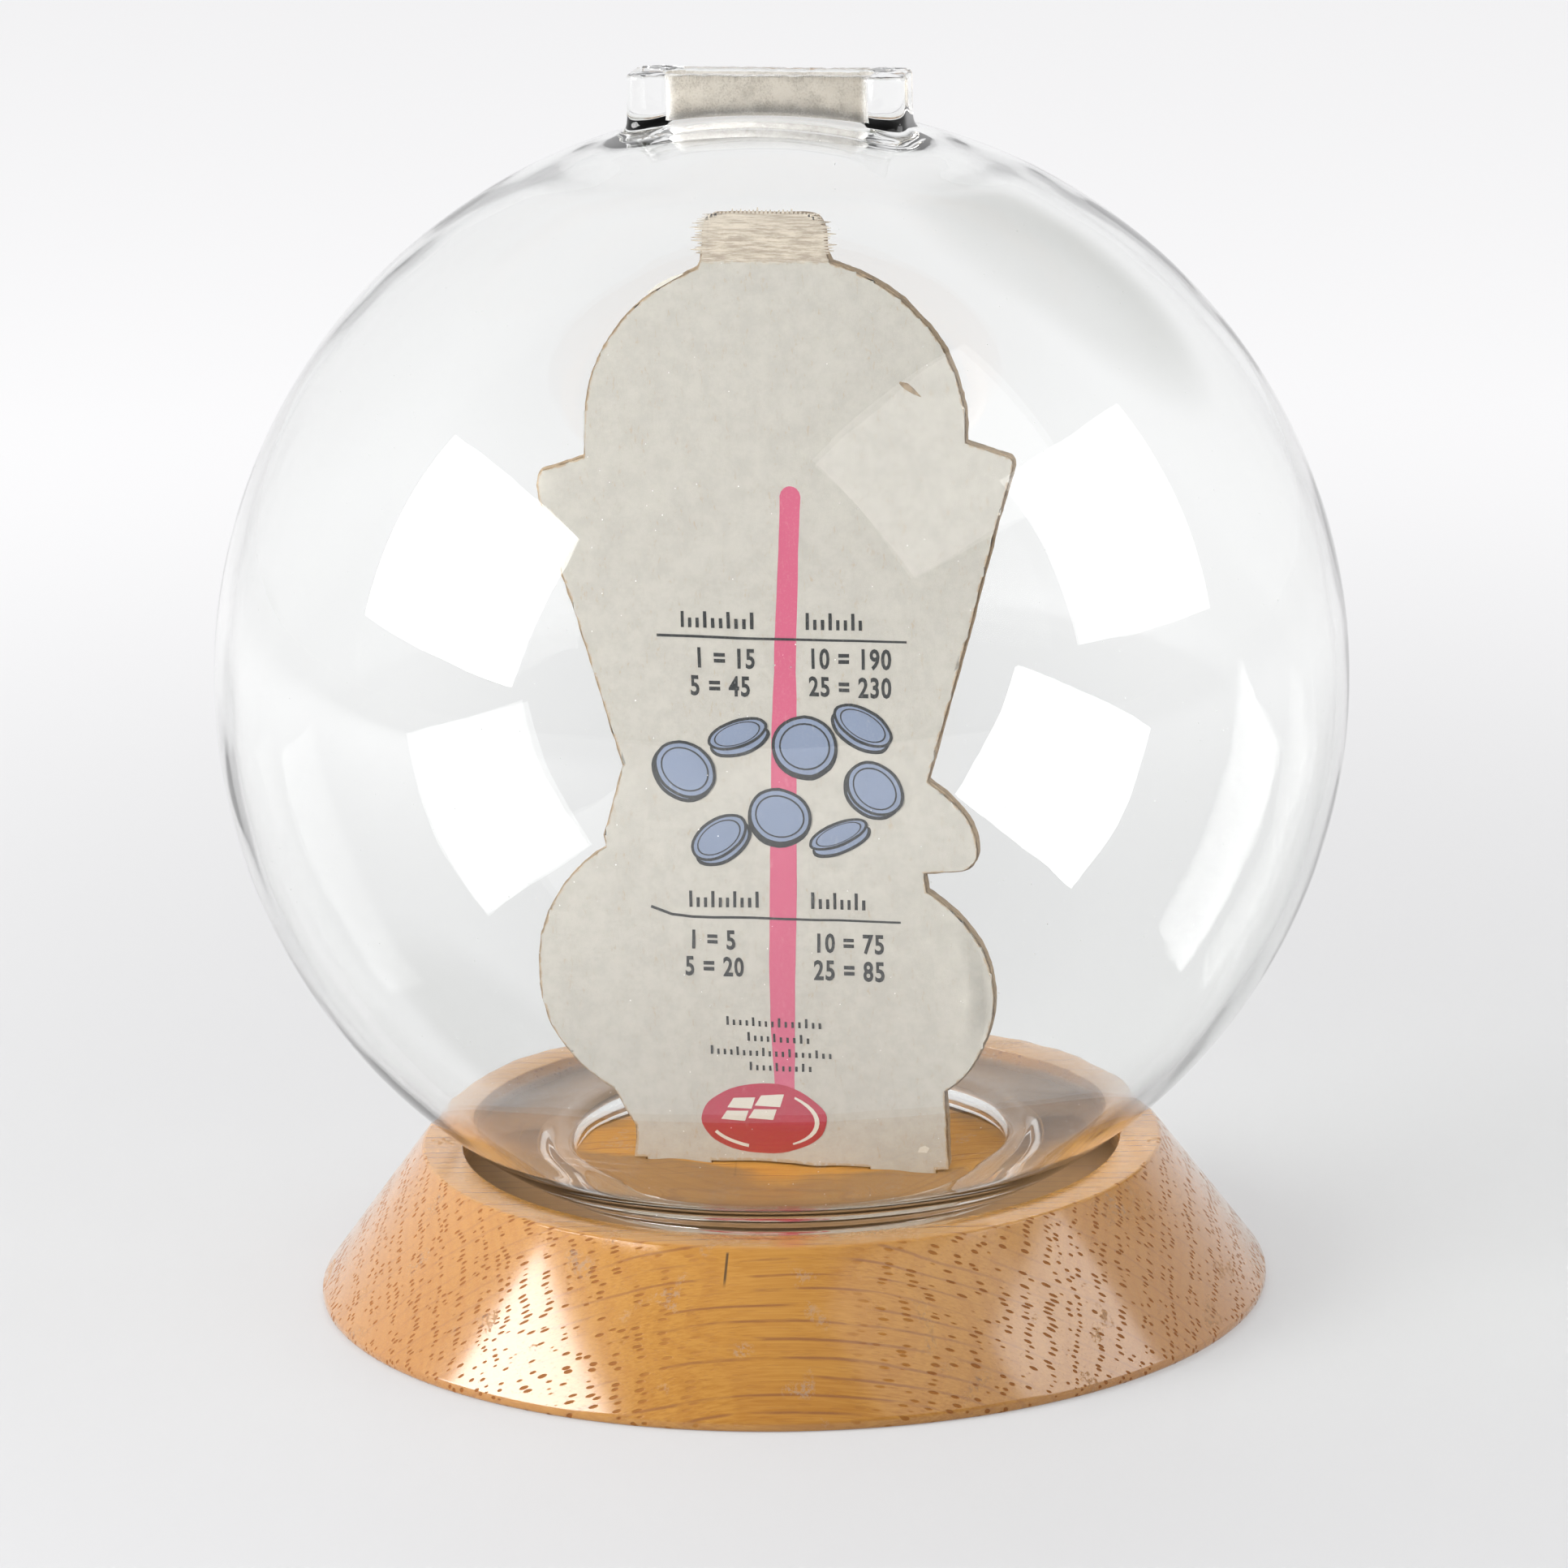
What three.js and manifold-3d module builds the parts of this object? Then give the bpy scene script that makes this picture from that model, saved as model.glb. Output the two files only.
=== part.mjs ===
// A coin bank. A clear glass globe with a coin slot in its crown stands in a recess turned in a round wooden
// base. Inside the globe a cut-out card, printed with a filling gauge, stands on two tabs in the base.
// Millimetres, +Z up, slot and card along X, printed side towards -Y, origin at the middle of the underside.

import Module from 'manifold-3d';
import * as THREE from 'three';
import { mergeVertices } from 'three/addons/utils/BufferGeometryUtils.js';

const wasm = await Module();
wasm.setup();

// ---------- Driving dimensions ----------

// Base, turned from one board
const BASE_HEIGHT = 22.2;
const BASE_FLARE = 15.5; // how far the conical side spreads below the land
const BASE_FOOT = 1.4; // upright band under the cone
const BASE_EDGE = 0.7; // rounding under that band
const LAND_WIDTH = 6; // flat ring between the recess and the cone
const RECESS_DEPTH = 5.3;
const RECESS_GAP = 4; // between the globe and the recess wall, at the land

// Globe, blown in a mould, with a thick fire-polished lip round the mouth in its underside
const GLOBE_RADIUS = 83;
const GLOBE_WALL = 2;
const MOUTH_RADIUS = 32;
const LIP_RADIUS = 3;
const LIP_FILLET = 10; // thickening from the wall into the lip
const SEAT_GAP = 0.3; // under the lip

// Slot collar, pressed in one with the globe
const SLOT_LENGTH = 30.2;
const SLOT_WIDTH = 4.8;
const COLLAR_WALL = 2.1; // glass along each side of the slot
const POST_LENGTH = 5.2; // glass past each end of the slot
const POST_BULGE = 0.95; // how far the end posts stand out past the side walls
const POST_CORNER = 2.2;
const COLLAR_RISE = 6; // above the crown of the sphere
const COLLAR_ROOT = 0.8; // how deep its outer corners sink into the glass
const COLLAR_EDGE = 0.6; // rounding of the rim

// Card: a chipboard core between two sheets of paper, all cut to one outline
const CORE_THICKNESS = 1.8;
const SHEET_THICKNESS = 0.25;
const GLUE_LINE = 0.05;
const CARD_HEADROOM = 12.2; // between the top of the card and the glass above it
const FIGURE_HEIGHT = 144; // height at which the outline below is drawn; it is then fitted to the globe
const FOOT_CLEARANCE = 8; // each side of the foot, inside the mouth
const TAB_LENGTH = 10; // each of the two tabs under the foot
const TAB_DEPTH = 5;
const TAB_SHOULDER = 2; // from each end of the foot to its tab
const CARD_GAP = 0.3; // under the foot and all round the tabs

// How finely round shapes are divided
const ROUND_SEGMENTS = 56;
const ARC_STEP = THREE.MathUtils.degToRad(8);
const SMALL_ARC_STEP = THREE.MathUtils.degToRad(30);

// ---------- Sizes that follow ----------

const recessFloor = BASE_HEIGHT - RECESS_DEPTH;

// The lip is a ring that touches the outer sphere from inside and narrows the mouth to its radius.
const lip = new THREE.Vector2(MOUTH_RADIUS + LIP_RADIUS, 0);
lip.y = -Math.sqrt((GLOBE_RADIUS - LIP_RADIUS) ** 2 - lip.x ** 2);
const globeCentre = recessFloor + SEAT_GAP + LIP_RADIUS - lip.y;
const innerRadius = GLOBE_RADIUS - GLOBE_WALL;

const landBelowCentre = globeCentre - BASE_HEIGHT;
const recessRadius = Math.sqrt(GLOBE_RADIUS ** 2 - landBelowCentre ** 2) + RECESS_GAP;
const landRadius = recessRadius + LAND_WIDTH;
const baseRadius = landRadius + BASE_FLARE;

const cardFoot = recessFloor + CARD_GAP;
const footHalf = MOUTH_RADIUS - FOOT_CLEARANCE;
const tabOuter = footHalf - TAB_SHOULDER;
const tabInner = tabOuter - TAB_LENGTH;
const cardThickness = CORE_THICKNESS + 2 * (GLUE_LINE + SHEET_THICKNESS);
const cardScale = (globeCentre + innerRadius - CARD_HEADROOM - cardFoot) / FIGURE_HEIGHT;

// ---------- Helpers ----------

// Points of an arc about (x, y), with both ends
function arc(x, y, radius, from, to, step = ARC_STEP) {
  const count = Math.max(1, Math.ceil(Math.abs(to - from) / step));
  return Array.from({ length: count + 1 }, (_, i) => {
    const angle = from + ((to - from) * i) / count;
    return new THREE.Vector2(x + radius * Math.cos(angle), y + radius * Math.sin(angle));
  });
}

// Drops each point that repeats the one before it
function joined(...stretches) {
  return stretches.flat().filter((p, i, all) => i === 0 || p.distanceTo(all[i - 1]) > 1e-6);
}

// A profile of (radius, height) points turned about the vertical axis
function turned(profile) {
  return new THREE.LatheGeometry(profile, ROUND_SEGMENTS).rotateX(Math.PI / 2);
}

function roundedRectangle(length, width, corner) {
  const x = length / 2 - corner;
  const y = width / 2 - corner;
  return new THREE.Shape()
    .absarc(x, y, corner, 0, Math.PI / 2)
    .absarc(-x, y, corner, Math.PI / 2, Math.PI)
    .absarc(-x, -y, corner, Math.PI, 1.5 * Math.PI)
    .absarc(x, -y, corner, 1.5 * Math.PI, 2 * Math.PI);
}

function toSolid(geometry) {
  geometry.deleteAttribute('normal');
  geometry.deleteAttribute('uv');
  const welded = mergeVertices(geometry);
  const corners = welded.index.array;
  const kept = [];
  for (let i = 0; i < corners.length; i += 3) {
    const triangle = [corners[i], corners[i + 1], corners[i + 2]];
    if (new Set(triangle).size === 3) kept.push(...triangle);
  }
  const mesh = new wasm.Mesh({
    numProp: 3,
    vertProperties: new Float32Array(welded.attributes.position.array),
    triVerts: new Uint32Array(kept),
  });
  return new wasm.Manifold(mesh);
}

function toGeometry(solid) {
  const { vertProperties, triVerts } = solid.getMesh();
  const geometry = new THREE.BufferGeometry();
  geometry.setAttribute('position', new THREE.BufferAttribute(vertProperties, 3));
  geometry.setIndex(new THREE.BufferAttribute(triVerts, 1));
  geometry.computeVertexNormals();
  return geometry;
}

function piece(name, geometry, material) {
  const mesh = new THREE.Mesh(geometry, new THREE.MeshStandardMaterial(material));
  mesh.name = name;
  return mesh;
}

// ---------- Base ----------

function woodBase() {
  const edgeX = baseRadius - BASE_EDGE;
  const profile = joined(
    [new THREE.Vector2(0, 0)],
    arc(edgeX, BASE_EDGE, BASE_EDGE, -Math.PI / 2, 0, SMALL_ARC_STEP),
    [
      new THREE.Vector2(baseRadius, BASE_FOOT),
      new THREE.Vector2(landRadius, BASE_HEIGHT),
      new THREE.Vector2(recessRadius, BASE_HEIGHT),
      new THREE.Vector2(recessRadius, recessFloor),
      new THREE.Vector2(0, recessFloor),
    ],
  );
  const length = TAB_LENGTH + 2 * CARD_GAP;
  const width = cardThickness + 2 * CARD_GAP;
  const x = (tabInner + tabOuter) / 2;
  const groove = () => new THREE.BoxGeometry(length, width, 2 * TAB_DEPTH);
  const solid = toSolid(turned(profile))
    .subtract(toSolid(groove().translate(x, 0, recessFloor)))
    .subtract(toSolid(groove().translate(-x, 0, recessFloor)));
  return piece('wood_base', toGeometry(solid), { color: 0xc58a45, roughness: 0.35, metalness: 0 });
}

// ---------- Globe ----------

function globeShell() {
  const lipAngle = Math.atan2(lip.y, lip.x);

  // Centre of the fillet that leaves the lip outside and meets the inner wall from inside
  const reach = innerRadius - LIP_FILLET;
  const apart = LIP_RADIUS + LIP_FILLET;
  const lipReach = GLOBE_RADIUS - LIP_RADIUS;
  const turn = Math.acos((reach ** 2 + lipReach ** 2 - apart ** 2) / (2 * reach * lipReach));
  const filletAngle = lipAngle + turn;
  const fillet = new THREE.Vector2(Math.cos(filletAngle), Math.sin(filletAngle)).multiplyScalar(reach);
  const backToLip = Math.atan2(lip.y - fillet.y, lip.x - fillet.x);
  const outToFillet = backToLip + Math.PI;

  const profile = joined(
    [new THREE.Vector2(0, innerRadius)],
    arc(0, 0, innerRadius, Math.PI / 2, filletAngle),
    arc(fillet.x, fillet.y, LIP_FILLET, filletAngle, backToLip, SMALL_ARC_STEP),
    arc(lip.x, lip.y, LIP_RADIUS, outToFillet, lipAngle + 2 * Math.PI, SMALL_ARC_STEP),
    arc(0, 0, GLOBE_RADIUS, lipAngle, 0),
    arc(0, 0, GLOBE_RADIUS, 0, Math.PI / 2),
    [new THREE.Vector2(0, GLOBE_RADIUS)],
  );
  for (const point of profile) if (Math.abs(point.x) < 1e-6) point.x = 0;
  return toSolid(turned(profile));
}

function slotCollar() {
  const slotEnd = SLOT_LENGTH / 2;
  const wallHalf = SLOT_WIDTH / 2 + COLLAR_WALL;
  const postHalf = wallHalf + POST_BULGE;
  const crown = GLOBE_RADIUS + COLLAR_RISE;
  const corner = Math.hypot(slotEnd + POST_LENGTH, postHalf);
  const root = Math.sqrt(GLOBE_RADIUS ** 2 - corner ** 2) - COLLAR_ROOT;
  const rounding = {
    depth: crown - root - 2 * COLLAR_EDGE,
    bevelThickness: COLLAR_EDGE,
    bevelSize: COLLAR_EDGE,
    bevelOffset: -COLLAR_EDGE,
    bevelSegments: 2,
    curveSegments: 4,
  };
  const raised = (shape, x) =>
    toSolid(new THREE.ExtrudeGeometry(shape, rounding).translate(x, 0, root + COLLAR_EDGE));

  const walls = raised(roundedRectangle(SLOT_LENGTH + POST_LENGTH, 2 * wallHalf, POST_CORNER), 0);
  const post = roundedRectangle(POST_LENGTH, 2 * postHalf, POST_CORNER);
  const postX = slotEnd + POST_LENGTH / 2;
  return walls.add(raised(post, postX)).add(raised(post, -postX));
}

function coinSlot() {
  const shape = roundedRectangle(SLOT_LENGTH, SLOT_WIDTH, SLOT_WIDTH / 3);
  const height = GLOBE_RADIUS + COLLAR_RISE;
  const through = { depth: height, bevelEnabled: false, curveSegments: 4 };
  return toSolid(new THREE.ExtrudeGeometry(shape, through).translate(0, 0, height / 2));
}

function glassGlobe() {
  const solid = globeShell().add(slotCollar()).subtract(coinSlot());
  const mesh = piece('glass_globe', toGeometry(solid), {
    color: 0xf4f6f2,
    roughness: 0.03,
    metalness: 0,
    transparent: true,
    opacity: 0.25,
  });
  mesh.position.z = globeCentre;
  return mesh;
}

// ---------- Card ----------

// The plain outline of a stout figure in a hat, as (across, up) from the middle of its foot
function cardOutline() {
  const k = cardScale;
  const outline = new THREE.Shape();
  const line = (x, y) => outline.lineTo(k * x, k * y);
  const curve = (cx, cy, x, y) => outline.quadraticCurveTo(k * cx, k * cy, k * x, k * y);
  const sweep = (x, y, rx, ry, from, to) => {
    const [start, end] = [from, to].map(THREE.MathUtils.degToRad);
    outline.absellipse(k * x, k * y, k * rx, k * ry, start, end);
  };

  // Foot with a tab near each end
  outline.moveTo(-footHalf, 0);
  for (const [from, to] of [[-tabOuter, -tabInner], [tabInner, tabOuter]]) {
    outline.lineTo(from, 0);
    outline.lineTo(from, -TAB_DEPTH);
    outline.lineTo(to, -TAB_DEPTH);
    outline.lineTo(to, 0);
  }
  outline.lineTo(footHalf, 0);
  // Right of the belly, rounded lobe at the neck, taper to the brim
  sweep(13, 27.2, 18, 18, -54, 62);
  line(21.2, 45.6);
  line(26.6, 46.3);
  curve(29.6, 47, 29.2, 50.4);
  curve(28.6, 55.6, 21.9, 60.2);
  line(34.4, 104.2);
  curve(35.8, 108.1, 34.4, 108.6);
  line(28.2, 110.7);
  // Dome of the hat, with its knob
  sweep(0, 113, 28.2, 24.7, 0, 72);
  curve(8, 137.4, 8, 139);
  curve(8, 144, 4.5, 144);
  line(-7, 144);
  curve(-10.4, 144, -10.4, 139);
  curve(-10.4, 136.6, -11.2, 135.7);
  sweep(0, 113, 28.2, 24.7, 114, 180);
  line(-28.4, 107.4);
  // Brim, taper and belly on the left
  line(-34.8, 105.4);
  curve(-36.4, 104.6, -35.6, 101);
  line(-24.2, 61);
  line(-27.3, 50.6);
  sweep(-16, 29.7, 22, 22, 120, 240);
  outline.lineTo(-footHalf, 5 * k);
  outline.closePath();
  return outline;
}

// One layer of the card, cut to the outline, from y = front back to y = front + thickness
function cardLayer(name, front, thickness, material) {
  const cut = { depth: thickness, bevelEnabled: false, curveSegments: 10 };
  const geometry = new THREE.ExtrudeGeometry(cardOutline(), cut).rotateX(Math.PI / 2);
  const mesh = piece(name, geometry, material);
  mesh.position.set(0, front + thickness, cardFoot);
  return mesh;
}

function card() {
  const group = new THREE.Group();
  const core = -CORE_THICKNESS / 2;
  const sheet = CORE_THICKNESS / 2 + GLUE_LINE;
  const paper = { color: 0xd7d2c6, roughness: 0.9, metalness: 0 };
  group.add(
    cardLayer('card_core', core, CORE_THICKNESS, { color: 0xb9a283, roughness: 0.95, metalness: 0 }),
    cardLayer('card_gauge_sheet', -sheet - SHEET_THICKNESS, SHEET_THICKNESS, paper),
    cardLayer('card_rear_sheet', sheet, SHEET_THICKNESS, { ...paper, color: 0xe3dcc4 }),
  );
  return group;
}

// ---------- Assembly ----------

const bank = new THREE.Group();
bank.add(woodBase(), glassGlobe(), card());

export default bank;
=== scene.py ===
import math

import bmesh
import bpy
from mathutils import Matrix, Vector, noise


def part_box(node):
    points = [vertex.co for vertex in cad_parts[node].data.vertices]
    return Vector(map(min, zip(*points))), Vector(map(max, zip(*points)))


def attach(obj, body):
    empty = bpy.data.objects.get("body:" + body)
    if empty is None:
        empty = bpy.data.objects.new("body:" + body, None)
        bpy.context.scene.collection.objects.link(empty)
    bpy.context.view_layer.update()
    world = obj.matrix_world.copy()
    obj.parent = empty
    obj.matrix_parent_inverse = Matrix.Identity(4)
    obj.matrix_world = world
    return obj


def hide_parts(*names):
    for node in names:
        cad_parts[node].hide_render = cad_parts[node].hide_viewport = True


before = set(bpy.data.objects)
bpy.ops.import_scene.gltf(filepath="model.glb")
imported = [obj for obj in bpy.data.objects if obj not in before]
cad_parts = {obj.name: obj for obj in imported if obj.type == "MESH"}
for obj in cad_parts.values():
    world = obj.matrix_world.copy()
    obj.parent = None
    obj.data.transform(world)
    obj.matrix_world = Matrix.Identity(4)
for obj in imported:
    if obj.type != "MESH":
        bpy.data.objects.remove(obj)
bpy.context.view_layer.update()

MM = 0.001

# ---------- Sizes ----------


def sides(node):
    """The lowest and highest corner of a CAD node, in millimetres."""
    return [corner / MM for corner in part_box(node)]


# Base
base_high = sides("wood_base")[1]
BASE_FLARE = 15.5
BASE_FOOT = 1.4
LAND_WIDTH = 6
RECESS_DEPTH = 5.3
BASE_RADIUS = base_high.x
LAND_RADIUS = BASE_RADIUS - BASE_FLARE
RECESS_RADIUS = LAND_RADIUS - LAND_WIDTH
RECESS_FLOOR = base_high.z - RECESS_DEPTH
BASE_SEGMENTS = 192

# Globe
globe_high = sides("glass_globe")[1]
GLOBE_RADIUS = globe_high.x
GLOBE_WALL = 2
INNER_RADIUS = GLOBE_RADIUS - GLOBE_WALL
COLLAR_RISE = 6
CENTRE = Vector((0, 0, globe_high.z - COLLAR_RISE - GLOBE_RADIUS))
MOUTH_RADIUS = 32
LIP_RADIUS = 3
LIP_FILLET = 22
SLOT_LENGTH = 30.2
SLOT_WIDTH = 4.8
SLOT_CORNER = 1.6
COLLAR_WALL = 2.1
POST_LENGTH = 5.2
POST_BULGE = 0.95
POST_CORNER = 2.2
CROWN_ANGLE = math.radians(62.5)
GLOBE_COLUMNS = 64

# Card
CARD_GAP = 0.3
CARD_LEFT = sides("card_core")[0].x
CARD_FACE = sides("card_gauge_sheet")[0].y
CARD_FOOT = RECESS_FLOOR + CARD_GAP
TAB_DEPTH = 5
TAB_LENGTH = 10
TAB_OUTER = 22
BELLY = Vector((13, 0, CARD_FOOT + 27.2))
BELLY_RADIUS = 18
BRIM_TIP = Vector((CARD_LEFT, 0, CARD_FOOT + 104))
TORN_HEIGHT = 136.4
EDGE_INSET = 0.8
GRID_STEP = 1.3

# Print
INK = 0.012
BULB_X = -3.9
BULB_Z = -68.0
FIGURE_HEIGHT = 2.9
SCALE_WIDTH = 0.48
FINE_WIDTH = 0.36
COIN_RADIUS = 4.8
COIN_THICKNESS = 1.3
COIN_LINE = 0.45
COIN_POINTS = 28

# Grain of the base: the way the fibres run, and how the growth rings lie across them
GRAIN_TURN = math.radians(9)
RING_TILT = math.radians(-25)
RING_SPACING = 1.35
PITH_DISTANCE = 120
PORE_LENGTH = 3.4
PORE_STEP = 0.80
ROW_SHIFT = 0.618
RAY_STEP = 2.3

# Pencil tick on the cone
TICK_X = 1.2
TICK_FOOT = 17

# Oak tones, from the surface down to its pores, what has marked it, and the painted shade of the recess
OAK_LIGHT = (0.485, 0.232, 0.046, 1)
OAK_DARK = (0.40, 0.172, 0.028, 1)
OAK_BOARD = (0.52, 0.262, 0.062, 1)
OAK_END = (0.36, 0.155, 0.048, 1)
OAK_EARLY = (0.36, 0.14, 0.028, 1)
OAK_RAY = (0.25, 0.10, 0.036, 1)
OAK_PORE = (0.23, 0.075, 0.018, 1)
SCUFFED = (0.32, 0.26, 0.22, 1)
# Painted shade: the darkening of the recess under the glass
RECESS_SHADE = (0.165, 0.105, 0.062, 1)
PENCIL = (0.035, 0.028, 0.022, 1)

# View, from the globe's centre: degrees and metres
VIEW_AZIMUTH = 11
VIEW_ELEVATION = 13.4
VIEW_DISTANCE = 1.067
VIEW_LENS = 167.7
VIEW_PITCH = -0.85
VIEW_ROLL = -1.2


# ---------- Modelling helpers ----------


def deselect():
    bpy.ops.object.select_all(action="DESELECT")


def only(obj):
    """Selects obj alone and makes it the active one."""
    deselect()
    obj.select_set(True)
    bpy.context.view_layer.objects.active = obj
    return obj


def edit(obj, mode="VERT"):
    only(obj)
    bpy.ops.object.mode_set(mode="EDIT")
    bpy.ops.mesh.select_mode(type=mode)


def done():
    bpy.ops.object.mode_set(mode="OBJECT")


def pick(obj, kind, wanted):
    """Selects, in edit mode, the faces or edges for which wanted(element) is true."""
    bpy.ops.mesh.select_all(action="DESELECT")
    bm = bmesh.from_edit_mesh(obj.data)
    for element in getattr(bm, kind):
        if wanted(element):
            element.select_set(True)
    bmesh.update_edit_mesh(obj.data)


def settle(obj, name, body, *nodes, slot=None, material=None):
    """Names a finished piece, seats its place in its mesh, and hands it to its CAD body."""
    only(obj)
    bpy.ops.object.transform_apply(location=True, rotation=True, scale=True)
    obj.name = name
    obj.data.name = name
    if material:
        obj.data.materials.clear()
        obj.data.materials.append(material)
    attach(obj, body)
    if nodes:
        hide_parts(*nodes)
    return obj


def apply(obj, kind, **settings):
    only(obj)
    modifier = obj.modifiers.new(kind.lower(), kind)
    for key, value in settings.items():
        setattr(modifier, key, value)
    bpy.ops.object.modifier_apply(modifier=modifier.name)


def smooth(obj, degrees):
    only(obj)
    bpy.ops.object.shade_smooth_by_angle(angle=math.radians(degrees))


def face_outwards(obj):
    edit(obj, "FACE")
    bpy.ops.mesh.select_all(action="SELECT")
    bpy.ops.mesh.normals_make_consistent(inside=False)
    done()


def shift(mesh, moves):
    """Moves each vertex by its own vector, in millimetres."""
    for v, move in zip(mesh.vertices, moves):
        v.co += move * MM
    mesh.update()


def ramp(value, low, high):
    """0 below low, 1 above high, eased in between."""
    t = min(1, max(0, (value - low) / (high - low)))
    return t * t * (3 - 2 * t)


# ---------- Node helpers ----------


def add(tree, kind, settings=(), inputs=()):
    """A shader node with its settings, and with each input set to a value or linked to a socket."""
    made = tree.nodes.new("ShaderNode" + kind)
    for key, value in dict(settings).items():
        setattr(made, key, value)
    for key, value in dict(inputs).items():
        if isinstance(value, bpy.types.NodeSocket):
            tree.links.new(value, made.inputs[key])
        else:
            made.inputs[key].default_value = value
    return made


def math_node(tree, operation, a, b=0.0, clamp=False):
    made = add(tree, "Math", {"operation": operation, "use_clamp": clamp}, {0: a, 1: b})
    return made.outputs[0]


def times(tree, a, b, clamp=False):
    return math_node(tree, "MULTIPLY", a, b, clamp)


def plus(tree, a, b, clamp=False):
    return math_node(tree, "ADD", a, b, clamp)


def minus(tree, a, b):
    return math_node(tree, "SUBTRACT", a, b)


def vector_node(tree, operation, a, b=(0, 0, 0), scale=1.0):
    settings = {"operation": operation}
    if operation == "SCALE":
        return add(tree, "VectorMath", settings, {0: a, "Scale": scale}).outputs["Vector"]
    made = add(tree, "VectorMath", settings, {0: a, 1: b})
    return made.outputs["Value" if operation == "DOT_PRODUCT" else "Vector"]


def span(tree, value, low, high, at_low=0.0, at_high=1.0):
    """at_low where value is low, at_high where it is high, eased in between."""
    settings = {"interpolation_type": "SMOOTHSTEP"}
    inputs = {"Value": value, "From Min": low, "From Max": high, "To Min": at_low, "To Max": at_high}
    return add(tree, "MapRange", settings, inputs).outputs["Result"]


def blend(tree, factor, a, b, kind="MIX"):
    settings = {"data_type": "RGBA", "blend_type": kind}
    made = add(tree, "Mix", settings, {0: factor, 6: a, 7: b})
    return made.outputs[2]


def speckle(tree, vector, scale, detail=2.0, roughness=0.5):
    inputs = {"Vector": vector, "Scale": scale, "Detail": detail, "Roughness": roughness}
    return add(tree, "TexNoise", (), inputs)


def mottle(*settings):
    return speckle(*settings).outputs["Fac"]


def millimetres(tree, stretch=(1, 1, 1)):
    """Object coordinates in millimetres, divided along each axis by stretch."""
    place = add(tree, "TexCoord").outputs["Object"]
    return vector_node(tree, "MULTIPLY", place, [1 / (MM * s) for s in stretch])


def bump(tree, height, distance, strength=1.0):
    inputs = {"Height": height, "Distance": distance * MM, "Strength": strength}
    return add(tree, "Bump", (), inputs).outputs["Normal"]


def new_material(name, **constants):
    """A material with its Principled shader, whose plain numbers are set on its own sockets."""
    made = bpy.data.materials.new(name)
    made.use_nodes = True
    tree = made.node_tree
    shader = tree.nodes["Principled BSDF"]
    for key, value in constants.items():
        shader.inputs[key.replace("_", " ").title().replace("Ior", "IOR")].default_value = value
    return made, tree, shader


def group(name, *masks):
    """An empty node group with one input, Size, and a float output for each mask."""
    made = bpy.data.node_groups.new(name, "ShaderNodeTree")
    size = made.interface.new_socket("Size", in_out="INPUT", socket_type="NodeSocketFloat")
    size.default_value = 1.0
    for mask in masks:
        made.interface.new_socket(mask, in_out="OUTPUT", socket_type="NodeSocketFloat")
    return made, made.nodes.new("NodeGroupInput"), made.nodes.new("NodeGroupOutput")


def use(tree, made, size):
    node = tree.nodes.new("ShaderNodeGroup")
    node.node_tree = made
    node.inputs["Size"].default_value = size
    return node.outputs


# ---------- Shared effects ----------


def fibre_group():
    """Pulp: matted fibres, specks of bark and a cloudy tone, for every paper and board here."""
    made, given, out = group("pulp", "Cloud", "Specks", "Height")
    place = vector_node(made, "SCALE", millimetres(made), scale=given.outputs["Size"])
    cloud = mottle(made, place, 0.42, 5.0, 0.7)
    bent = vector_node(made, "ADD", place, speckle(made, place, 0.5).outputs["Color"])
    fibres = mottle(made, vector_node(made, "MULTIPLY", bent, (2.2, 1, 0.6)), 1.0, 3.0, 0.7)
    fine = mottle(made, place, 4.0, 2.0, 0.7)
    specks = times(made, span(made, fibres, 0.56, 0.70), span(made, cloud, 0.44, 0.60))
    dots = span(made, fine, 0.70, 0.80)
    made.links.new(span(made, cloud, 0.3, 0.7), out.inputs["Cloud"])
    made.links.new(math_node(made, "MAXIMUM", specks, dots), out.inputs["Specks"])
    made.links.new(plus(made, fine, fibres), out.inputs["Height"])
    return made


def handling_group():
    """Smears, dust and small scuffs left by handling, as masks."""
    made, given, out = group("handling", "Smears", "Scuffs", "Dust")
    place = vector_node(made, "SCALE", millimetres(made), scale=given.outputs["Size"])
    smears = mottle(made, vector_node(made, "MULTIPLY", place, (1, 1, 0.4)), 0.06, 5.0, 0.65)
    worn = mottle(made, place, 0.09, 1.0)
    grit = mottle(made, place, 0.9, 4.0, 0.7)
    scuffs = times(made, span(made, worn, 0.63, 0.70), span(made, grit, 0.45, 0.62))
    dust = add(made, "TexVoronoi", {"feature": "F1"}, {"Vector": place, "Scale": 0.35}).outputs["Distance"]
    made.links.new(span(made, smears, 0.45, 0.75), out.inputs["Smears"])
    made.links.new(scuffs, out.inputs["Scuffs"])
    made.links.new(span(made, dust, 0.02, 0.04, 1.0, 0.0), out.inputs["Dust"])
    return made


PULP = fibre_group()
HANDLING = handling_group()


# ---------- Materials ----------


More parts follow.
